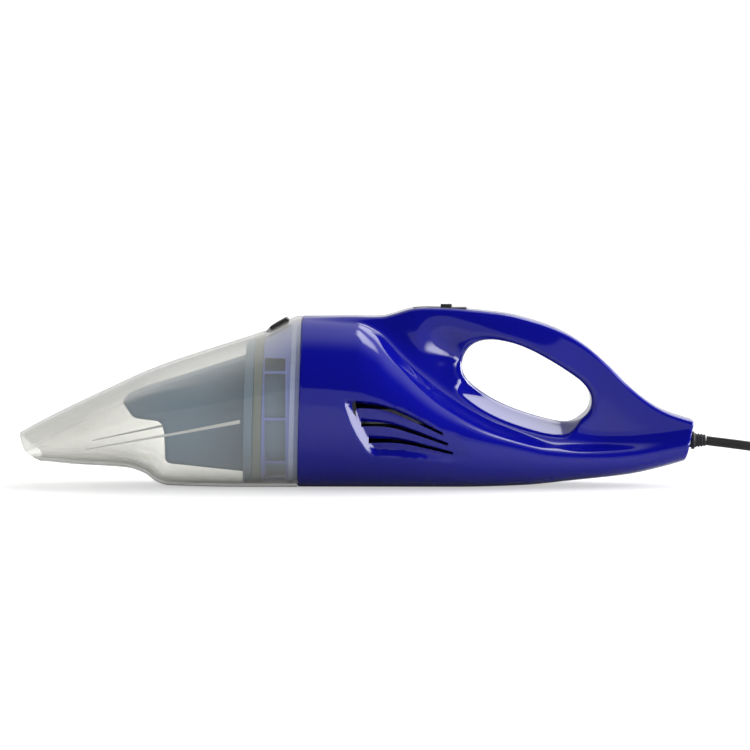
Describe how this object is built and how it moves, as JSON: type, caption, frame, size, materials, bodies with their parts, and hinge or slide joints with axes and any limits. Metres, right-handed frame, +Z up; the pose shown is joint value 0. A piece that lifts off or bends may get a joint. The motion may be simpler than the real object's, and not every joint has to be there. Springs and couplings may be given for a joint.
{
  "type": "handheld car vacuum",
  "caption": "Handheld corded car vacuum with a clear nozzle bowl, a blue body with a looped handle, a thumb switch and a lead with a 12 V plug.",
  "frame": {"origin": "on the ground under the middle of the vacuum without its cord", "axes": "+X from the nozzle to the cord end, +Y to the user's right, +Z up"},
  "size_m": [0.5609, 0.1448, 0.108],
  "materials": {
    "body_blue": "high gloss, deep blue, moulded",
    "skirt_blue": "smooth, pale blue, moulded",
    "clear_bowl": "clear, glossy, faintly warm",
    "filter_grey": "fine texture, slate grey",
    "seal_grey": "soft, grey-green",
    "filter_cloth": "felted, off-white",
    "black_plastic": "fine spark texture, black",
    "black_rubber": "dull, black",
    "pale_rubber": "soft, pale blue",
    "cord_black": "smooth, black, slightly glossy",
    "bright_steel": "drawn, bright",
    "screw_steel": "blackened",
    "magnet_grey": "sintered, dark grey",
    "copper": "wound and lacquered",
    "nickel": "nickel plated",
    "red_plastic": "smooth, red",
    "fuse_glass": "clear glass tube"
  },
  "bodies": {
    "root": {"left_shell": "body_blue", "right_shell": "body_blue", "front_skirt": "skirt_blue", "bowl_seal": "pale_rubber", "motor_ring": "black_rubber", "strain_relief": "black_rubber", "plug_sleeve": "black_rubber", "power_cord": "cord_black", "cord_coil": "cord_black", "cord_tail": "cord_black", "motor_can": "bright_steel", "plug_spring": "bright_steel", "motor_magnet_left": "magnet_grey", "motor_magnet_right": "magnet_grey", "suppression_capacitor": "copper", "brush_terminal_left": "nickel", "brush_terminal_right": "nickel", "plug_nose_cap": "red_plastic", "wire_switch": "red_plastic", "wire_red": "red_plastic", "wire_black": "cord_black", "plug_fuse": "fuse_glass", "intake_grille": "black_plastic", "fan_shroud": "black_plastic", "motor_bulkhead": "black_plastic", "motor_end_cap": "black_plastic", "switch_plate": "black_plastic", "switch_body": "black_plastic", "cord_clamp": "black_plastic", "plug_upper_half": "black_plastic", "plug_lower_half": "black_plastic", "shell_screw_1": "screw_steel", "shell_screw_2": "screw_steel", "shell_screw_3": "screw_steel", "shell_screw_4": "screw_steel", "shell_screw_5": "screw_steel", "shell_screw_6": "screw_steel"},
    "bowl": {"dust_bowl": "clear_bowl", "button_pin": "bright_steel"},
    "button": {"bowl_release_button": "black_plastic"},
    "filter": {"filter_frame": "filter_grey", "filter_seal": "seal_grey", "filter_cloth": "filter_cloth"},
    "rotor": {"impeller": "black_plastic", "motor_shaft": "bright_steel", "motor_armature": "copper"},
    "slider": {"switch_slider": "black_plastic"},
    "plug_tip": {"plug_tip_pin": "nickel"},
    "contact_near": {"plug_contact_near": "nickel"},
    "contact_far": {"plug_contact_far": "nickel"}
  },
  "joints": [
    {"name": "bowl_release", "type": "slide", "parent": "root", "child": "bowl", "axis": [-1, 0, 0], "range_m": [0, 0.16]},
    {"name": "filter_pull", "type": "slide", "parent": "root", "child": "filter", "axis": [-1, 0, 0], "range_m": [0, 0.04]},
    {"name": "button_press", "type": "hinge", "parent": "bowl", "child": "button", "pos_m": [-0.0514, 0, 0.0926], "axis": [0, 1, 0], "range_deg": [0, 6], "stiffness_Nm_per_rad": 0.4, "springref_deg": -2.86},
    {"name": "switch_slide", "type": "slide", "parent": "root", "child": "slider", "axis": [1, 0, 0], "range_m": [-0.007, 0]},
    {"name": "rotor_spin", "type": "hinge", "parent": "root", "child": "rotor", "pos_m": [0, 0, 0.042], "axis": [1, 0, 0], "continuous": true},
    {"name": "plug_tip_press", "type": "slide", "parent": "root", "child": "plug_tip", "axis": [1, 0, 0], "range_m": [0, 0.003], "stiffness_N_per_m": 900, "springref_m": -0.001},
    {"name": "contact_near_press", "type": "slide", "parent": "root", "child": "contact_near", "axis": [0, 1, 0], "range_m": [0, 0.0012], "stiffness_N_per_m": 900, "springref_m": -0.0005},
    {"name": "contact_far_press", "type": "slide", "parent": "root", "child": "contact_far", "axis": [0, -1, 0], "range_m": [0, 0.0012], "stiffness_N_per_m": 900, "springref_m": -0.0005}
  ],
  "couplings": [
    {"joint": "filter_pull", "follows": "bowl_release", "ratio": 0.25}
  ]
}
